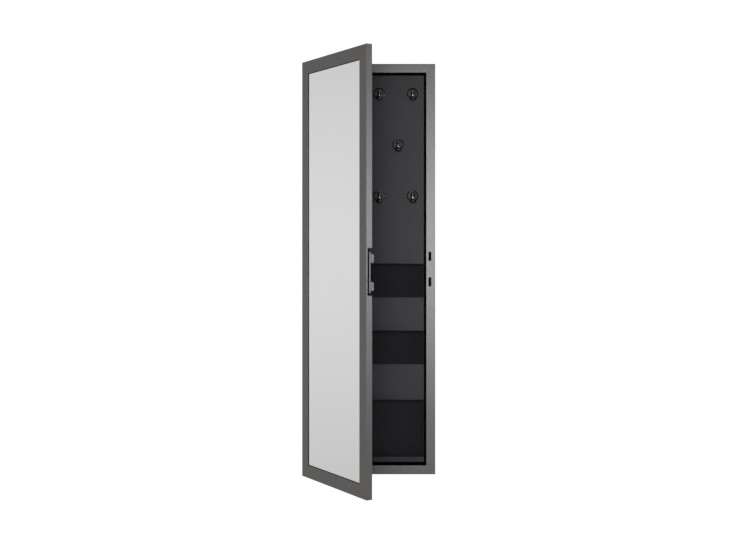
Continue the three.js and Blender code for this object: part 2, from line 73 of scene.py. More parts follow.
class Look:
    """A principled material and the few node patterns that the materials share."""

    def __init__(self, name, **sockets):
        self.material = bpy.data.materials.new(name)
        self.material.use_nodes = True
        self.tree = self.material.node_tree
        self.shader = self.tree.nodes["Principled BSDF"]
        for socket, value in sockets.items():
            self.shader.inputs[socket.replace("_", " ")].default_value = value
        self.coordinates = self.add("ShaderNodeTexCoord").outputs["Object"]

    def add(self, kind, **values):
        node = self.tree.nodes.new(kind)
        for name, value in values.items():
            setattr(node, name, value)
        return node

    def link(self, source, target):
        self.tree.links.new(source, target)

    def scaled(self, x, y, z):
        mapping = self.add("ShaderNodeMapping")
        mapping.inputs["Scale"].default_value = (x, y, z)
        self.link(self.coordinates, mapping.inputs["Vector"])
        return mapping.outputs["Vector"]

    def noise(self, scale, detail=3.0, vector=None):
        node = self.add("ShaderNodeTexNoise")
        node.inputs["Scale"].default_value = scale
        node.inputs["Detail"].default_value = detail
        self.link(vector or self.coordinates, node.inputs["Vector"])
        return node.outputs["Fac"]

    def cells(self, scale):
        node = self.add("ShaderNodeTexVoronoi")
        node.inputs["Scale"].default_value = scale
        self.link(self.coordinates, node.inputs["Vector"])
        return node.outputs["Color"]

    def wave(self, scale, direction, distortion=0.0):
        node = self.add("ShaderNodeTexWave", bands_direction=direction)
        node.inputs["Scale"].default_value = scale
        node.inputs["Distortion"].default_value = distortion
        self.link(self.coordinates, node.inputs["Vector"])
        return node.outputs["Fac"]

    def spread(self, value, low, high):
        """Maps a 0 to 1 pattern onto the range low to high."""
        node = self.add("ShaderNodeMapRange")
        node.inputs["To Min"].default_value = low
        node.inputs["To Max"].default_value = high
        self.link(value, node.inputs["Value"])
        return node.outputs["Result"]

    def math(self, operation, first, second):
        node = self.add("ShaderNodeMath", operation=operation)
        self.link(first, node.inputs[0])
        self.link(second, node.inputs[1])
        return node.outputs["Value"]

    def between(self, factor, first, second):
        """A colour that goes from first to second as the pattern rises."""
        node = self.add("ShaderNodeMix", data_type="RGBA")
        self.link(factor, node.inputs[0])
        node.inputs[6].default_value = (*first, 1)
        node.inputs[7].default_value = (*second, 1)
        return node.outputs[2]

    def color(self, factor, first, second):
        self.link(self.between(factor, first, second), self.shader.inputs["Base Color"])

    def roughness(self, factor, low, high):
        self.link(self.spread(factor, low, high), self.shader.inputs["Roughness"])

    def bump(self, height, distance, strength=1.0, under=None):
        node = self.add("ShaderNodeBump")
        node.inputs["Distance"].default_value = distance
        node.inputs["Strength"].default_value = strength
        self.link(height, node.inputs["Height"])
        if under:
            self.link(under, node.inputs["Normal"])
        self.link(node.outputs["Normal"], self.shader.inputs["Normal"])
        return node.outputs["Normal"]


def gunmetal_look(name, dark, light):
    look = Look(name, Metallic=0.5, IOR=1.5, Specular_IOR_Level=0.5)
    cloud = look.noise(9, 4)
    flake = look.cells(2600)
    look.color(cloud, dark, light)
    look.roughness(look.noise(60, 5), 0.33, 0.41)
    peel = look.bump(look.noise(420, 2), 0.00006, 0.5)
    look.bump(flake, 0.00001, 0.25, under=peel)
    return look.material


def steel_look(name, dark, light, smoothest, roughest):
    look = Look(name, Metallic=1.0)
    grain = look.noise(500, 4, look.scaled(1, 1, 0.08))
    look.color(look.noise(140, 4), dark, light)
    look.roughness(grain, smoothest, roughest)
    look.bump(grain, 0.00003, 0.5)
    return look.material


def mirror_look():
    look = Look("silvered_glass", Metallic=1.0)
    look.color(look.noise(2.5, 2), (0.842, 0.838, 0.838), (0.856, 0.852, 0.852))
    look.roughness(look.noise(30, 5), 0.010, 0.022)
    look.bump(look.noise(3, 1), 0.0002, 0.05)
    return look.material


def black_plastic_look():
    look = Look(
        "moulded_black", IOR=1.5, Specular_IOR_Level=0.4, Coat_Weight=0.9, Coat_Roughness=0.08,
    )
    look.color(look.noise(70, 3), (0.0012, 0.0012, 0.0015), (0.0035, 0.0035, 0.004))
    look.roughness(look.noise(240, 4), 0.14, 0.22)
    look.bump(look.noise(900, 2), 0.00002, 0.4)
    return look.material


def satin_plastic_look():
    look = Look("satin_black", IOR=1.45, Specular_IOR_Level=0.3)
    look.color(look.noise(80, 3), (0.010, 0.010, 0.012), (0.017, 0.017, 0.020))
    look.roughness(look.noise(600, 4), 0.46, 0.56)
    look.bump(look.noise(1400, 2), 0.00003, 0.5)
    return look.material


# Near-black matte for the latch case, latch keeper and mirror bead: a black part, whose extra-deep
# black is partly painted shade inside the latch's slots and recess and in the mirror's rebate.
def matte_black_and_shade_look():
    look = Look("matte_black", IOR=1.45, Specular_IOR_Level=0.08)
    look.color(look.noise(90, 3), (0.0012, 0.0012, 0.0014), (0.0035, 0.0035, 0.004))
    look.roughness(look.noise(260, 4), 0.7, 0.9)
    look.bump(look.noise(700, 3), 0.00004, 0.5)
    return look.material


def grey_plastic_look():
    look = Look("moulded_grey", IOR=1.5)
    look.color(look.noise(90, 3), (0.035, 0.035, 0.037), (0.05, 0.05, 0.052))
    look.roughness(look.noise(300, 3), 0.5, 0.65)
    look.bump(look.noise(1500, 2), 0.00003, 0.5)
    return look.material


def lining_look():
    look = Look("fine_lining", IOR=1.45, Specular_IOR_Level=0.28)
    nap = look.noise(5, 5)
    pile = look.noise(1800, 3)
    look.color(nap, (0.0152, 0.0147, 0.0196), (0.0230, 0.0225, 0.0292))
    look.roughness(pile, 0.50, 0.58)
    look.bump(pile, 0.0001, 0.4)
    return look.material


# Near-black felt for the linings of the inside walls; its very dark colour is partly painted shade
# along the cabinet's inner walls.
def felt_and_shade_look():
    look = Look("black_felt_and_painted_shade", IOR=1.4, Specular_IOR_Level=0.02)
    fibres = look.noise(900, 6)
    look.color(fibres, (0.0003, 0.0003, 0.0004), (0.0014, 0.0014, 0.0017))
    look.roughness(fibres, 0.9, 1.0)
    look.bump(fibres, 0.0004, 0.7)
    return look.material


def pocket_look():
    look = Look(
        "pocket_cloth", Sheen_Weight=0.06, Sheen_Roughness=0.4, IOR=1.4, Specular_IOR_Level=0.3,
    )
    warp = look.wave(430, "X", 0.6)
    weft = look.wave(430, "Z", 0.6)
    weave = look.math("MULTIPLY", warp, weft)
    slub = look.noise(45, 5, look.scaled(0.25, 1, 3))
    shade_of_cloth = look.math("MULTIPLY", weave, slub)
    look.color(shade_of_cloth, (0.005, 0.0044, 0.0068), (0.015, 0.0132, 0.0205))
    look.roughness(slub, 0.68, 0.88)
    weave_normal = look.bump(weave, 0.00035, 0.8)
    look.bump(slub, 0.0006, 0.4, under=weave_normal)
    return look.material


# Black ribbed elastic, darker than the pocket cloth; the extra darkness is partly painted shade,
# the dark line at each pocket's mouth.
def elastic_and_shade_look():
    look = Look(
        "ribbed_elastic_and_painted_shade", Sheen_Weight=0.03, Sheen_Roughness=0.5, IOR=1.4, Specular_IOR_Level=0.2,
    )
    ribs = look.wave(900, "Z", 0.3)
    look.color(ribs, (0.0015, 0.0015, 0.002), (0.006, 0.0055, 0.007))
    look.roughness(ribs, 0.6, 0.8)
    look.bump(ribs, 0.0003, 0.8)
    return look.material


def thread_look():
    look = Look("sewing_thread", IOR=1.45, Specular_IOR_Level=0.3)
    twist = look.noise(2600, 3)
    look.color(twist, (0.008, 0.0075, 0.0095), (0.020, 0.018, 0.023))
    look.roughness(twist, 0.5, 0.7)
    look.bump(twist, 0.0001, 0.5)
    return look.material


def board_look():
    look = Look("dark_fibreboard", IOR=1.45)
    fibres = look.noise(260, 8, look.scaled(1, 1, 0.35))
    look.color(fibres, (0.016, 0.013, 0.011), (0.046, 0.038, 0.033))
    look.roughness(fibres, 0.6, 0.82)
    look.bump(fibres, 0.0002, 0.5)
    return look.material


def rubber_look():
    look = Look("black_rubber", IOR=1.5)
    look.color(look.noise(300, 3), (0.008, 0.008, 0.008), (0.018, 0.018, 0.018))
    look.roughness(look.noise(800, 3), 0.7, 0.9)
    look.bump(look.noise(1600, 2), 0.00005, 0.5)
    return look.material


def stage_look():
    look = Look("pale_floor", IOR=1.4)
    look.color(look.noise(1.2, 3), (0.84, 0.84, 0.84), (0.87, 0.87, 0.87))
    look.roughness(look.noise(8, 3), 0.7, 0.85)
    return look.material


MATERIALS = {
    "gunmetal": gunmetal_look("gunmetal_lacquer", (0.069, 0.068, 0.0685), (0.081, 0.080, 0.0805)),
    "steel": steel_look("zinc_steel", (0.085, 0.085, 0.088), (0.135, 0.135, 0.138), 0.24, 0.40),
    "mirror": mirror_look(),
    "black_plastic": black_plastic_look(),
    "grey_plastic": grey_plastic_look(),
    "lining": lining_look(),
    "felt": felt_and_shade_look(),
    "pocket_fabric": pocket_look(),
    "board": board_look(),
    "rubber": rubber_look(),
}


# Pieces that differ from the rest of their slot: the pockets' hems and stitches, matte latch parts
# with a dull plate between them, and a warmer door frame. The door's warmer gunmetal is painted
# warm light; the near-black of the latch parts and of the hems is partly painted shade.
MATTE_BLACK_AND_SHADE = matte_black_and_shade_look()
ELASTIC_AND_SHADE = elastic_and_shade_look()
THREAD = thread_look()
# Painted warm light: the door frame has the cabinet's lacquer, tinted warmer to copy the light
# that falls on its face.
DOOR_WARM_LIGHT_LACQUER = gunmetal_look("door_lacquer_painted_warm_light", (0.068, 0.0645, 0.062), (0.079, 0.0755, 0.0725))
OWN_MATERIAL = {
    "latch_bar": steel_look(
        "dull_steel", (0.066, 0.065, 0.063), (0.100, 0.098, 0.095), 0.36, 0.50,
    ),
    "latch_case": MATTE_BLACK_AND_SHADE,
    "latch_keeper": MATTE_BLACK_AND_SHADE,
    "door_stile_hinge_side": DOOR_WARM_LIGHT_LACQUER,
    "door_stile_latch_side": DOOR_WARM_LIGHT_LACQUER,
    "door_rail_top": DOOR_WARM_LIGHT_LACQUER,
    "door_rail_bottom": DOOR_WARM_LIGHT_LACQUER,
}


def material_of(node):
    return OWN_MATERIAL.get(node, MATERIALS[SLOT_OF[node]])


def paint(piece, material):
    piece.data.materials.clear()
    piece.data.materials.append(material)


# ---- pieces ----

def link_mesh(name, mesh):
    piece = bpy.data.objects.new(name, mesh)
    bpy.context.scene.collection.objects.link(piece)
    return piece


def from_bmesh(name, shape):
    mesh = bpy.data.meshes.new(name)
    shape.to_mesh(mesh)
    shape.free()
    return link_mesh(name, mesh)


def shade(piece, sharp_degrees=32):
    """Smooth faces, with edges sharper than the limit kept crisp."""
    limit = math.radians(sharp_degrees)
    shape = bmesh.new()
    shape.from_mesh(piece.data)
    for face in shape.faces:
        face.smooth = True
    for edge in shape.edges:
        edge.smooth = len(edge.link_faces) == 2 and edge.calc_face_angle(0) < limit
    shape.to_mesh(piece.data)
    shape.free()


def set_up(piece, body, slot, material=None):
    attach(piece, body)
    paint(piece, material or MATERIALS[slot])


FLAT_DEGREES = 1  # faces that meet within this are one flat face
CORNER_DEGREES = 40  # an outward edge sharper than this is rounded


def finish_edges(node, radius, shortest):
    """A copy of a CAD node with its outward edges rounded, which takes the node's place."""
    shape = bmesh.new()
    shape.from_mesh(NODES[node].data)
    bmesh.ops.remove_doubles(shape, verts=shape.verts, dist=0.00001)
    bmesh.ops.dissolve_limit(
        shape, angle_limit=math.radians(FLAT_DEGREES), verts=shape.verts, edges=shape.edges,
    )
    edges = [
        edge for edge in shape.edges
        if len(edge.link_faces) == 2
        and edge.is_convex
        and edge.calc_face_angle(0) > math.radians(CORNER_DEGREES)
        and edge.calc_length() > shortest
    ]
    bmesh.ops.bevel(
        shape, geom=edges, offset=radius, segments=3, profile=0.5,
        affect="EDGES", clamp_overlap=True,
    )
    piece = from_bmesh(f"{node}_finished", shape)
    shade(piece)
    flatten = piece.modifiers.new("flat_faces", "WEIGHTED_NORMAL")
    flatten.keep_sharp = True
    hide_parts(node)
    set_up(piece, BODY_OF[node], SLOT_OF[node], material_of(node))


# Start of a node's name, radius of its edges, and the shortest edge that is rounded.
EDGE_RADII = [
    ("cabinet_stile", 1.5 * MM, 60 * MM),
    ("cabinet_rail", 1.5 * MM, 60 * MM),
    ("door_stile", 1.5 * MM, 60 * MM),
    ("door_rail", 1.5 * MM, 60 * MM),
    ("mirror_glass", 0.8 * MM, 60 * MM),
    ("latch_bar", 0.3 * MM, 1 * MM),
    ("latch_case", 0.4 * MM, 1 * MM),
    ("latch_keeper", 0.4 * MM, 1 * MM),
    ("hinge", 0.15 * MM, 1 * MM),
    ("hanger_plate", 0.15 * MM, 1 * MM),
    ("back_board", 0.5 * MM, 20 * MM),
    ("hanging_batten", 0.6 * MM, 20 * MM),
    ("door_inner_panel", 0.8 * MM, 60 * MM),
    ("lining_panel", 0.8 * MM, 60 * MM),
    ("side_lining", 0.5 * MM, 20 * MM),
    ("top_lining", 0.4 * MM, 20 * MM),
    ("bottom_lining", 0.4 * MM, 20 * MM),
    ("door_bumper", 0.3 * MM, 0.5 * MM),
]


def finish_cad_pieces():
    for node, piece in NODES.items():
        paint(piece, material_of(node))
        for start, radius, shortest in EDGE_RADII:
            if node.startswith(start):
                finish_edges(node, radius, shortest)


# ---- the bead that holds the mirror ----

HINGE = next(
    joint for joint in frame["record"]["behaviour"]["joints"] if joint["name"] == "door_hinge"
)
DOOR_ANGLE = math.radians(-HINGE["range_deg"][0])  # how far the door stands open at rest
DOOR_ACROSS = Vector((math.cos(DOOR_ANGLE), -math.sin(DOOR_ANGLE), 0))
DOOR_OUT = Vector((-math.sin(DOOR_ANGLE), -math.cos(DOOR_ANGLE), 0))
UP = Vector((0, 0, 1))
BEAD_SECTION = [  # in from the frame's lip, out from the glass
    (0.0 * MM, 0.0 * MM),
    (1.6 * MM, 0.0 * MM),
    (1.5 * MM, 0.7 * MM),
    (1.0 * MM, 1.3 * MM),
    (0.0 * MM, 1.6 * MM),
]


def extent(node, direction):
    """How far a CAD node reaches along a direction, from its lowest to its highest point."""
    reaches = [vertex.co.dot(direction) for vertex in NODES[node].data.vertices]
    return min(reaches), max(reaches)


def add_mirror_bead():
    left = extent("door_stile_hinge_side", DOOR_ACROSS)[1]
    right = extent("door_stile_latch_side", DOOR_ACROSS)[0]
    bottom = extent("door_rail_bottom", UP)[1]
    top = extent("door_rail_top", UP)[0]
    glass = extent("mirror_glass", DOOR_OUT)[1]
    corners = [
        (left, bottom, 1, 1),
        (right, bottom, -1, 1),
        (right, top, -1, -1),
        (left, top, 1, -1),
    ]
    shape = bmesh.new()
    rings = [
        [
            shape.verts.new(
                DOOR_ACROSS * (across + inward_across * inset)
                + DOOR_OUT * (glass + height)
                + UP * (up + inward_up * inset)
            )
            for inset, height in BEAD_SECTION
        ]
        for across, up, inward_across, inward_up in corners
    ]
    count = len(BEAD_SECTION)
    for near, far in zip(rings, rings[1:] + rings[:1]):
        for index in range(count):
            after = (index + 1) % count
            shape.faces.new((near[index], far[index], far[after], near[after]))
    bmesh.ops.recalc_face_normals(shape, faces=shape.faces)
    bead = from_bmesh("mirror_bead", shape)
    shade(bead, 50)
    # The bead's near-black is partly painted shade: it stands for the dark rebate between the
    # frame's lip and the glass.
    set_up(bead, "door", "rubber", MATTE_BLACK_AND_SHADE)


# ---- screws ----

SCREW_PROFILE = [  # radius, height above the surface it is driven into
    (1.2 * MM, -0.7 * MM),
    (2.3 * MM, 0.0 * MM),
    (2.3 * MM, 0.06 * MM),
    (2.1 * MM, 0.14 * MM),
]
CROSS_ARM = 1.5 * MM
CROSS_HALF_WIDTH = 0.35 * MM
CROSS_DEPTH = 0.5 * MM
SCREW_SEGMENTS = 24


def add_screw(shape, centre, facing):
    """A countersunk head with a cross recess, its axis along facing."""
    side = UP.cross(facing)

    def place(along, up, height):
        return shape.verts.new(centre + side * along + UP * up + facing * height)

    rings = [
        [
            place(
                radius * math.cos(2 * math.pi * step / SCREW_SEGMENTS),
                radius * math.sin(2 * math.pi * step / SCREW_SEGMENTS),
                height,
            )
            for step in range(SCREW_SEGMENTS)
        ]
        for radius, height in SCREW_PROFILE
    ]
    shape.faces.new(list(reversed(rings[0])))
    for near, far in zip(rings, rings[1:]):
        for step in range(SCREW_SEGMENTS):
            after = (step + 1) % SCREW_SEGMENTS
            shape.faces.new((near[step], near[after], far[after], far[step]))

    outline = []
    quarter = [
        (CROSS_ARM, -CROSS_HALF_WIDTH),
        (CROSS_ARM, CROSS_HALF_WIDTH),
        (CROSS_HALF_WIDTH, CROSS_HALF_WIDTH),
    ]
    for _ in range(4):
        outline += quarter
        quarter = [(-up, along) for along, up in quarter]
    top_height = SCREW_PROFILE[-1][1]
    rim = [place(along, up, top_height) for along, up in outline]
    floor = [place(along, up, top_height - CROSS_DEPTH) for along, up in outline]
    count = len(rim)
    for index in range(count):
        after = (index + 1) % count
        shape.faces.new((rim[after], rim[index], floor[index], floor[after]))
    shape.faces.new(floor)
    loops = [
        shape.edges.get((loop[index], loop[(index + 1) % len(loop)]))
        for loop in (rings[-1], rim)
        for index in range(len(loop))
    ]
    bmesh.ops.bridge_loops(shape, edges=loops)


def add_screws(name, places, body):
    """All the screws of one body as one piece, from (centre, facing) pairs."""
    shape = bmesh.new()
    for centre, facing in places:
        add_screw(shape, centre, facing)
    bmesh.ops.recalc_face_normals(shape, faces=shape.faces)
    piece = from_bmesh(name, shape)
    shade(piece, 30)
    set_up(piece, body, "steel")


HINGE_PLACES = ("top", "middle", "bottom")
HINGE_SCREW_SPACING = 21 * MM
HINGE_SCREW_INSET = 8 * MM  # from the leaf's far edge
KNUCKLE_STANDS_OUT = 3.2 * MM  # in front of the leaf's face
PLATE_SCREW_HEIGHT = 16.5 * MM  # above and below the middle of a keyhole plate


def add_all_screws():
    forward = Vector((0, -1, 0))
    on_cabinet = []
    on_door = []
    for place in HINGE_PLACES:
        low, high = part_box(f"hinge_{place}_cabinet_leaf")
        leaf_middle = high.x - HINGE_SCREW_INSET
        height = (low.z + high.z) / 2
        face = extent(f"hinge_{place}_cabinet_leaf", forward)[1] - KNUCKLE_STANDS_OUT
        rows = [height + step * HINGE_SCREW_SPACING for step in (-1, 0, 1)]
        on_cabinet += [(Vector((leaf_middle, -face, z)), forward) for z in rows]

        far_edge = extent(f"hinge_{place}_door_leaf", DOOR_ACROSS)[1]
        inner_face = extent(f"hinge_{place}_door_leaf", -DOOR_OUT)[1] - KNUCKLE_STANDS_OUT
        on_door += [
            (
                DOOR_ACROSS * (far_edge - HINGE_SCREW_INSET) - DOOR_OUT * inner_face + UP * z,
                -DOOR_OUT,
            )
            for z in rows
        ]
    add_screws("hinge_screws_cabinet", on_cabinet, "cabinet")
    add_screws("hinge_screws_door", on_door, "door")

    backward = Vector((0, 1, 0))
    on_back = []
    for node in NODES:
        if node.startswith("hanger_plate"):
            low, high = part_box(node)
            middle = (low + high) / 2
            on_back += [
                (Vector((middle.x, high.y, middle.z + step * PLATE_SCREW_HEIGHT)), backward)
                for step in (-1, 1)
            ]
    add_screws("hanger_screws", on_back, "cabinet")


# ---- jewelry hooks ----

GLOSSY, SATIN = 0, 1  # the hook's material slots
HOOK_BALL_RADIUS = 6.0 * MM
HOOK_BALL_HEIGHT = 3.6 * MM  # above the middle of the base
HOOK_VOXEL = 0.55 * MM


def lathe(shape, profile, centre, segments=48):
    """A closed turned body about Y through centre, from (radius, depth) points."""
    rings = []
    for radius, depth in profile:
        ring = []
        for step in range(segments):
            angle = 2 * math.pi * step / segments
            ring.append(shape.verts.new((
                centre.x + radius * math.cos(angle),
                centre.y + depth,
                centre.z + radius * math.sin(angle),
            )))
        rings.append(ring)
    for near, far in zip(rings, rings[1:]):
        for step in range(segments):
            after = (step + 1) % segments
            shape.faces.new((near[step], near[after], far[after], far[step]))
    shape.faces.new(list(reversed(rings[0])))
    shape.faces.new(rings[-1])


def spline(points, steps):
    """Points along a Catmull-Rom curve through the given ones."""
    padded = [2 * points[0] - points[1], *points, 2 * points[-1] - points[-2]]
    result = []
    for index in range(1, len(padded) - 2):
        a, b, c, d = padded[index - 1:index + 3]
        for step in range(steps):
            t = step / steps
            result.append(0.5 * (
                2 * b
                + (c - a) * t
                + (2 * a - 5 * b + 4 * c - d) * t ** 2
                + (3 * b - a - 3 * c + d) * t ** 3
            ))
    result.append(points[-1])
    return result


def hook_arm(shape, path, widths, thicknesses, segments=24):
    """A swept arm in the YZ plane whose oval section changes along the path.

    The widths and thicknesses are half sizes, spaced evenly along the path."""
    rings = []
    last = len(path) - 1
    for index, point in enumerate(path):
        along = (path[min(index + 1, last)] - path[max(index - 1, 0)]).normalized()
        across = Vector((0, -along.z, along.y))
        place = index / last * (len(widths) - 1)
        lower = min(int(place), len(widths) - 2)
        mix = place - lower
        half_width = widths[lower] * (1 - mix) + widths[lower + 1] * mix
        half_thick = thicknesses[lower] * (1 - mix) + thicknesses[lower + 1] * mix
        ring = []
        for step in range(segments):
            angle = 2 * math.pi * step / segments
            offset = Vector((half_width * math.cos(angle), 0, 0))
            ring.append(shape.verts.new(point + offset + across * half_thick * math.sin(angle)))
        rings.append(ring)
    for near, far in zip(rings, rings[1:]):
        for step in range(segments):
            after = (step + 1) % segments
            shape.faces.new((near[step], near[after], far[after], far[step]))
    shape.faces.new(list(reversed(rings[0])))
    shape.faces.new(rings[-1])


def append_mesh(shape, mesh):
    """Adds a mesh to the shape and returns its faces."""
    first = len(shape.faces)
    shape.from_mesh(mesh)
    shape.faces.ensure_lookup_table()
    added = shape.faces[first:]
    for face in added:
        face.smooth = True
    return added


def fused(shape, voxel, smoothing):
    """One skin round all the shells of a shape, eased where they meet."""
    rough = from_bmesh("rough", shape)
    remesh = rough.modifiers.new("fuse", "REMESH")
    remesh.mode = "VOXEL"
    remesh.voxel_size = voxel
    ease = rough.modifiers.new("ease", "SMOOTH")
    ease.factor = 0.5
    ease.iterations = smoothing
    depsgraph = bpy.context.evaluated_depsgraph_get()
    mesh = bpy.data.meshes.new_from_object(rough.evaluated_get(depsgraph))
    bpy.data.objects.remove(rough)
    return mesh


def hook_base_mesh(radius, back):
    """A flat disc with a chamfered rim and a low boss for the arm."""
    shape = bmesh.new()
    lathe(shape, [
        (radius - 0.3 * MM, back),
        (radius, back - 0.4 * MM),
        (radius, back - 0.8 * MM),
        (radius - 0.5 * MM, back - 1.1 * MM),
        (radius - 2.1 * MM, back - 2.4 * MM),
        (radius - 2.5 * MM, back - 2.7 * MM),
        (radius - 2.9 * MM, back - 2.8 * MM),
        (radius - 6.0 * MM, back - 2.8 * MM),
    ], Vector((0, 0, 0)), 64)
    mesh = bpy.data.meshes.new("hook_base")
    shape.to_mesh(mesh)
    shape.free()
    return mesh


def hook_arm_mesh(back, reach):
    """A broad J from the base, down, out and up to its ball."""
    tip = back - reach + HOOK_BALL_RADIUS
    shape = bmesh.new()
    stations = [  # depth, height above the middle of the base, half width, half thickness
        (back - 2.0 * MM, -7.0 * MM, 6.0 * MM, 3.0 * MM),
        (back - 7.5 * MM, -14.8 * MM, 8.2 * MM, 3.5 * MM),
        (back - 14.5 * MM, -18.8 * MM, 8.8 * MM, 3.6 * MM),
        (back - 21.0 * MM, -15.6 * MM, 8.6 * MM, 3.6 * MM),
        (tip + 1.3 * MM, -9.6 * MM, 7.0 * MM, 3.4 * MM),
        (tip + 0.3 * MM, -3.8 * MM, 3.6 * MM, 2.8 * MM),
        (tip + 0.4 * MM, 1.8 * MM, 2.8 * MM, 2.6 * MM),
    ]
    path = spline([Vector((0, depth, height)) for depth, height, _, _ in stations], 6)
    widths = [width for _, _, width, _ in stations]
    thicknesses = [thickness for _, _, _, thickness in stations]
    hook_arm(shape, path, widths, thicknesses)
    ball = Matrix.Translation((0, tip, HOOK_BALL_HEIGHT))
    bmesh.ops.create_uvsphere(
        shape, u_segments=32, v_segments=20, radius=HOOK_BALL_RADIUS, matrix=ball
    )
    return fused(shape, HOOK_VOXEL, 4)


def moulded_hook_mesh(low, high):
    """The hook, centred on its base: a satin disc with a glossy rim, arm and ball. The rim's
    darker glossy black is painted shadow round the disc.
    """
    radius = (high.x - low.x) / 2
    shape = bmesh.new()
    for face in append_mesh(shape, hook_base_mesh(radius, high.y)):
        # Painted shadow: the rim's faces take the darker glossy black so a dark ring shows round
        # the lighter satin face.
        face.material_index = SATIN if face.normal.y < -0.95 else GLOSSY
    append_mesh(shape, hook_arm_mesh(high.y, high.y - low.y))
    mesh = bpy.data.meshes.new("moulded_hook")
    mesh.materials.append(MATERIALS["black_plastic"])
    mesh.materials.append(satin_plastic_look())
    shape.to_mesh(mesh)
    shape.free()
    return mesh


def add_hooks():
    nodes = sorted(name for name in NODES if name.startswith("jewelry_hook"))
    low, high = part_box(nodes[0])
    mesh = moulded_hook_mesh(low, high)
    radius = (high.x - low.x) / 2
    for node in nodes:
        low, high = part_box(node)
        hook = link_mesh(f"{node}_moulded", mesh)
        hook.location = ((low.x + high.x) / 2, 0, high.z - radius)
        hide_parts(node)
        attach(hook, BODY_OF[node])


# ---- fabric pockets ----

POCKET_COLUMNS = 112
HEM_HEIGHT = 9 * MM
SETTLING_FRAMES = 24
CLOTH_THICKNESS = 1.0 * MM
HEM_THICKNESS = 0.9 * MM
HEM_LIFT = Vector((0, -0.7 * MM, 0))  # from the middle of the cloth to the middle of its hem
STITCH_LIFT = Vector((0, -1.25 * MM, 0.9 * MM))  # from the hem's foot onto its face
LINING_CLEARANCE = 0.9 * MM
EDGE_INSET = 0.8 * MM  # of the cloth's rim from the CAD pocket's
SIDE_INSET = 0.4 * MM


def simulate_cloth(piece, frames):
    """Settles the cloth under its own weight, with its sewn edges and its mouth held."""
    cloth = piece.modifiers.new("cloth", "CLOTH")
    settings = cloth.settings
    settings.quality = 7
    settings.mass = 0.25
    settings.tension_stiffness = 18
    settings.compression_stiffness = 18
    settings.shear_stiffness = 6
    settings.bending_stiffness = 0.6
    settings.vertex_group_mass = "sewn"
    settings.vertex_group_shrink = "elastic"
    settings.shrink_min = 0.0
    settings.shrink_max = 0.03
    settings.use_pressure = True
    settings.uniform_pressure_force = 0.35
    cloth.collision_settings.use_collision = False
    cloth.collision_settings.use_self_collision = False
    cloth.point_cache.frame_start = 1
    cloth.point_cache.frame_end = frames
    scene = bpy.context.scene
    for number in range(1, frames + 1):
        scene.frame_set(number)
    depsgraph = bpy.context.evaluated_depsgraph_get()
    settled = bpy.data.meshes.new_from_object(piece.evaluated_get(depsgraph))
    piece.modifiers.clear()
    piece.data = settled
    scene.frame_set(1)


def pocket_sheet(node):
    """The pocket's front cloth as a grid, bulging between its sewn edges, and its hem's rows."""
    low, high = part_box(node)
    width = high.x - low.x
    height = high.z - low.z
    depth = high.y - low.y
    rows = max(30, round(height / width * POCKET_COLUMNS))
    shape = bmesh.new()
    grid = []
    for row in range(rows + 1):
        drop = row / rows
        line = []
        for column in range(POCKET_COLUMNS + 1):
            across = column / POCKET_COLUMNS
            side = math.sin(math.pi * across) ** 0.22
            belly = math.sin(math.pi * min(1.0, 0.28 + 0.72 * drop)) ** 0.5
            mouth = 0.62 * (1 - drop) ** 2
            bulge = side * min(1.0, max(belly, mouth)) * (depth - 3.5 * MM)
            ripple = math.sin(across * 19) * math.sin(across * 7.3 + 1.2)
            bulge += 0.5 * MM * ripple * side * (1 - drop)
            wave = 0.7 * MM * math.sin(across * 11 + 0.6) * side * (1 - drop) ** 3
            line.append(shape.verts.new((
                low.x + SIDE_INSET + (width - 2 * SIDE_INSET) * across,
                high.y - EDGE_INSET - max(bulge, 0),
                high.z - EDGE_INSET - (height - EDGE_INSET) * drop + wave,
            )))
        grid.append(line)
    for upper, lower in zip(grid, grid[1:]):
        for column in range(POCKET_COLUMNS):
            shape.faces.new((
                upper[column], lower[column], lower[column + 1], upper[column + 1],
            ))
    piece = from_bmesh(f"{node}_cloth", shape)
    columns = POCKET_COLUMNS + 1
    sewn = piece.vertex_groups.new(name="sewn")
    elastic = piece.vertex_groups.new(name="elastic")
    hem_rows = max(2, round(HEM_HEIGHT / height * rows))
    for index in range(len(piece.data.vertices)):
        row, column = divmod(index, columns)
        if column in (0, POCKET_COLUMNS) or row in (0, rows):
            sewn.add([index], 1.0, "REPLACE")
        if row <= hem_rows:
            elastic.add([index], 1.0, "REPLACE")
    return piece, hem_rows


STITCH_LENGTH = 2.6 * MM
STITCH_STEP = 3.6 * MM
STITCH_RADIUS = 0.22 * MM
STITCH_SIDES = 6
STITCH_SECTIONS = [  # share of the length from its middle, share of the full radius
    (-0.5, 0.3),
    (-0.3, 1.0),
    (0.3, 1.0),
    (0.5, 0.3),
]


def stitch_row(name, points):
    """Short thread stitches along a line of points, each a closed bead."""
    shape = bmesh.new()
    travelled = 0.0
    for start, end in zip(points, points[1:]):
        travelled += (end - start).length
        if travelled < STITCH_STEP:
            continue
        travelled -= STITCH_STEP
        along = (end - start).normalized()
        out = Vector((0, -1, 0))
        aside = along.cross(out)
        rings = []
        for share, swell in STITCH_SECTIONS:
            middle = end + along * STITCH_LENGTH * share
            rings.append([
                shape.verts.new(
                    middle
                    + out * STITCH_RADIUS * swell * math.sin(2 * math.pi * step / STITCH_SIDES)
                    + aside * STITCH_RADIUS * swell * math.cos(2 * math.pi * step / STITCH_SIDES)
                )
                for step in range(STITCH_SIDES)
            ])
        for near, far in zip(rings, rings[1:]):
            for step in range(STITCH_SIDES):
                after = (step + 1) % STITCH_SIDES
                shape.faces.new((near[step], near[after], far[after], far[step]))
        shape.faces.new(list(reversed(rings[0])))
        shape.faces.new(rings[-1])
    bmesh.ops.recalc_face_normals(shape, faces=shape.faces)
    piece = from_bmesh(name, shape)
    shade(piece, 80)
    return piece


def keep_off_lining(piece, gap):
    for vertex in piece.data.vertices:
        vertex.co.y = min(vertex.co.y, LINING_Y - gap)


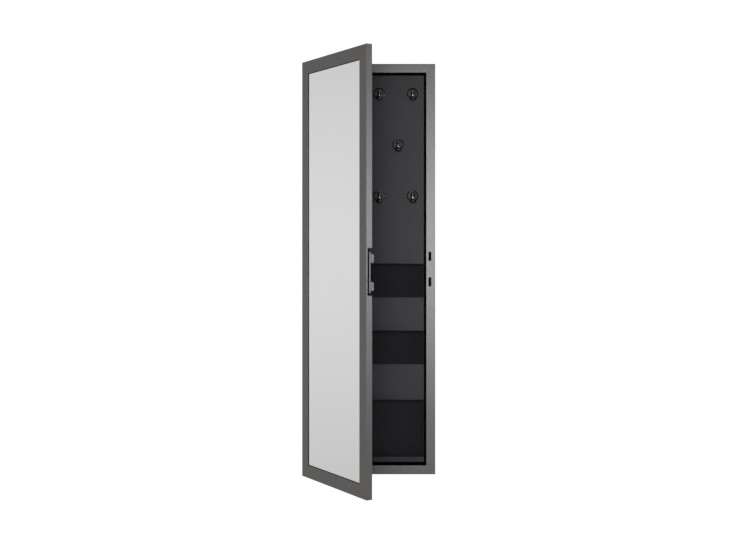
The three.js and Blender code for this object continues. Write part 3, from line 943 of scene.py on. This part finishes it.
def add_pocket(node):
    piece, hem_rows = pocket_sheet(node)
    simulate_cloth(piece, SETTLING_FRAMES)
    keep_off_lining(piece, LINING_CLEARANCE)
    columns = POCKET_COLUMNS + 1

    hem_shape = bmesh.new()
    verts = [
        hem_shape.verts.new(piece.data.vertices[index].co + HEM_LIFT)
        for index in range(columns * (hem_rows + 1))
    ]
    for row in range(hem_rows):
        for column in range(POCKET_COLUMNS):
            start = row * columns + column
            hem_shape.faces.new((
                verts[start], verts[start + columns],
                verts[start + columns + 1], verts[start + 1],
            ))
    hem_foot = [vert.co + STITCH_LIFT for vert in verts[columns * hem_rows:]]
    stitches = stitch_row(f"{node}_stitches", hem_foot)
    hem = from_bmesh(f"{node}_hem", hem_shape)
    for cloth, thickness in ((piece, CLOTH_THICKNESS), (hem, HEM_THICKNESS)):
        shade(cloth, 80)
        thicken = cloth.modifiers.new("thickness", "SOLIDIFY")
        thicken.thickness = thickness
        thicken.offset = 0
        fine = cloth.modifiers.new("fine", "SUBSURF")
        fine.levels = 1
        fine.render_levels = 1
    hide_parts(node)
    set_up(piece, BODY_OF[node], "pocket_fabric")
    set_up(hem, BODY_OF[node], "pocket_fabric", ELASTIC_AND_SHADE)
    set_up(stitches, BODY_OF[node], "pocket_fabric", THREAD)


# ---- stage, light and camera ----

FLOOR_RADIUS = 1.3
FLOOR_DROP = 0.6


def add_floor():
    shape = bmesh.new()
    bmesh.ops.create_circle(shape, cap_ends=True, segments=96, radius=FLOOR_RADIUS)
    floor = from_bmesh("floor", shape)
    floor.location.z = CABINET_LOW.z - FLOOR_DROP
    paint(floor, stage_look())


def add_area_light(name, place, target, size, watts, tint=(1, 1, 1)):
    light = bpy.data.lights.new(name, "AREA")
    light.shape = "RECTANGLE"
    light.size, light.size_y = size
    light.energy = watts
    light.color = tint
    lamp = bpy.data.objects.new(name, light)
    bpy.context.scene.collection.objects.link(lamp)
    lamp.location = place
    lamp.visible_camera = False
    direction = Vector(target) - Vector(place)
    lamp.rotation_euler = direction.to_track_quat("-Z", "Y").to_euler()
    return lamp


ROOM = 0.80  # brightness of the room at eye level
ROOM_END = 0.50  # and towards its floor and ceiling
UNDERFOOT = 0.75  # share of that brightness which is left far below eye level
AHEAD = 0.4  # and in front of the object, beside the softboxes
OVERHEAD = 0.35  # extra light straight above
BACKDROP = 1.06  # the plain white that the camera sees behind the object


def add_world():
    """A pale room, brighter overhead, in front of a plain white backdrop."""
    world = bpy.data.worlds.new("studio")
    bpy.context.scene.world = world
    world.use_nodes = True
    tree = world.node_tree
    direction = tree.nodes.new("ShaderNodeTexCoord").outputs["Generated"]
    parts = tree.nodes.new("ShaderNodeSeparateXYZ")
    tree.links.new(direction, parts.inputs["Vector"])

    def combine(operation, first, second=None):
        node = tree.nodes.new("ShaderNodeMath")
        node.operation = operation
        tree.links.new(first, node.inputs[0])
        if second:
            tree.links.new(second, node.inputs[1])
        return node.outputs["Value"]

    def ramp(value, start, end, low, high):
        node = tree.nodes.new("ShaderNodeMapRange")
        node.interpolation_type = "SMOOTHSTEP"
        node.inputs["From Min"].default_value = start
        node.inputs["From Max"].default_value = end
        node.inputs["To Min"].default_value = low
        node.inputs["To Max"].default_value = high
        tree.links.new(value, node.inputs["Value"])
        return node.outputs["Result"]

    tilt = combine("ABSOLUTE", parts.outputs["Z"])
    room = ramp(tilt, 0.0, 0.42, ROOM, ROOM_END)
    below = ramp(parts.outputs["Z"], -0.55, -0.22, UNDERFOOT, 1.0)
    above = ramp(parts.outputs["Z"], 0.4, 0.95, 0.0, OVERHEAD)
    ahead = ramp(parts.outputs["Y"], -0.75, -0.1, AHEAD, 1.0)
    room = combine("MULTIPLY", combine("MULTIPLY", room, below), ahead)
    strength = combine("ADD", room, above)
    tree.links.new(strength, tree.nodes["Background"].inputs["Strength"])
    tree.nodes["Background"].inputs["Color"].default_value = (1, 1, 1, 1)

    backdrop = tree.nodes.new("ShaderNodeBackground")
    backdrop.inputs["Color"].default_value = (1, 1, 1, 1)
    backdrop.inputs["Strength"].default_value = BACKDROP
    choice = tree.nodes.new("ShaderNodeMixShader")
    rays = tree.nodes.new("ShaderNodeLightPath")
    tree.links.new(rays.outputs["Is Camera Ray"], choice.inputs[0])
    tree.links.new(tree.nodes["Background"].outputs[0], choice.inputs[1])
    tree.links.new(backdrop.outputs[0], choice.inputs[2])
    tree.links.new(choice.outputs[0], tree.nodes["World Output"].inputs["Surface"])


def keep_out_of(lamp, piece):
    """The lamp doesn't light this piece, so a mirror doesn't show it as a white block."""
    group = bpy.data.collections.new(f"{lamp.name}_receivers")
    group.objects.link(piece)
    group.collection_objects[0].light_linking.link_state = "EXCLUDE"
    lamp.light_linking.receiver_collection = group


def add_lights():
    front = add_area_light(
        "front_softbox", (-0.65, -3.5, 0.14), (0, 0, 0.05), (2.4, 0.9), 139,
    )
    right = add_area_light(
        "right_softbox", (3.7, -2.3, 0.2), (0, 0, 0.0), (1.2, 1.0), 54, (0.89, 0.94, 1.0),
    )
    for lamp in (front, right):
        keep_out_of(lamp, bpy.data.objects["mirror_glass_finished"])


CAMERA_DISTANCE = 3.294  # from the cabinet's front plane
CAMERA_RIGHT = 0.0089
CAMERA_HEIGHT = 0.0748
LENS = 54.1
SENSOR = 36
HORIZON_ABOVE_CENTRE = 0.042  # share of the frame's width


def add_camera():
    data = bpy.data.cameras.new("camera")
    data.sensor_width = SENSOR
    data.lens = LENS
    data.shift_y = -HORIZON_ABOVE_CENTRE
    data.clip_end = 100
    camera = bpy.data.objects.new("camera", data)
    bpy.context.scene.collection.objects.link(camera)
    camera.location = (CAMERA_RIGHT, FRONT_Y - CAMERA_DISTANCE, CAMERA_HEIGHT)
    camera.rotation_euler = (math.pi / 2, 0, 0)
    bpy.context.scene.camera = camera


add_camera()
add_world()
add_floor()
finish_cad_pieces()
add_lights()
add_mirror_bead()
add_all_screws()
add_hooks()
for pocket in ("pocket_top", "pocket_middle", "pocket_bottom"):
    add_pocket(pocket)

bpy.context.scene.view_settings.view_transform = "Standard"
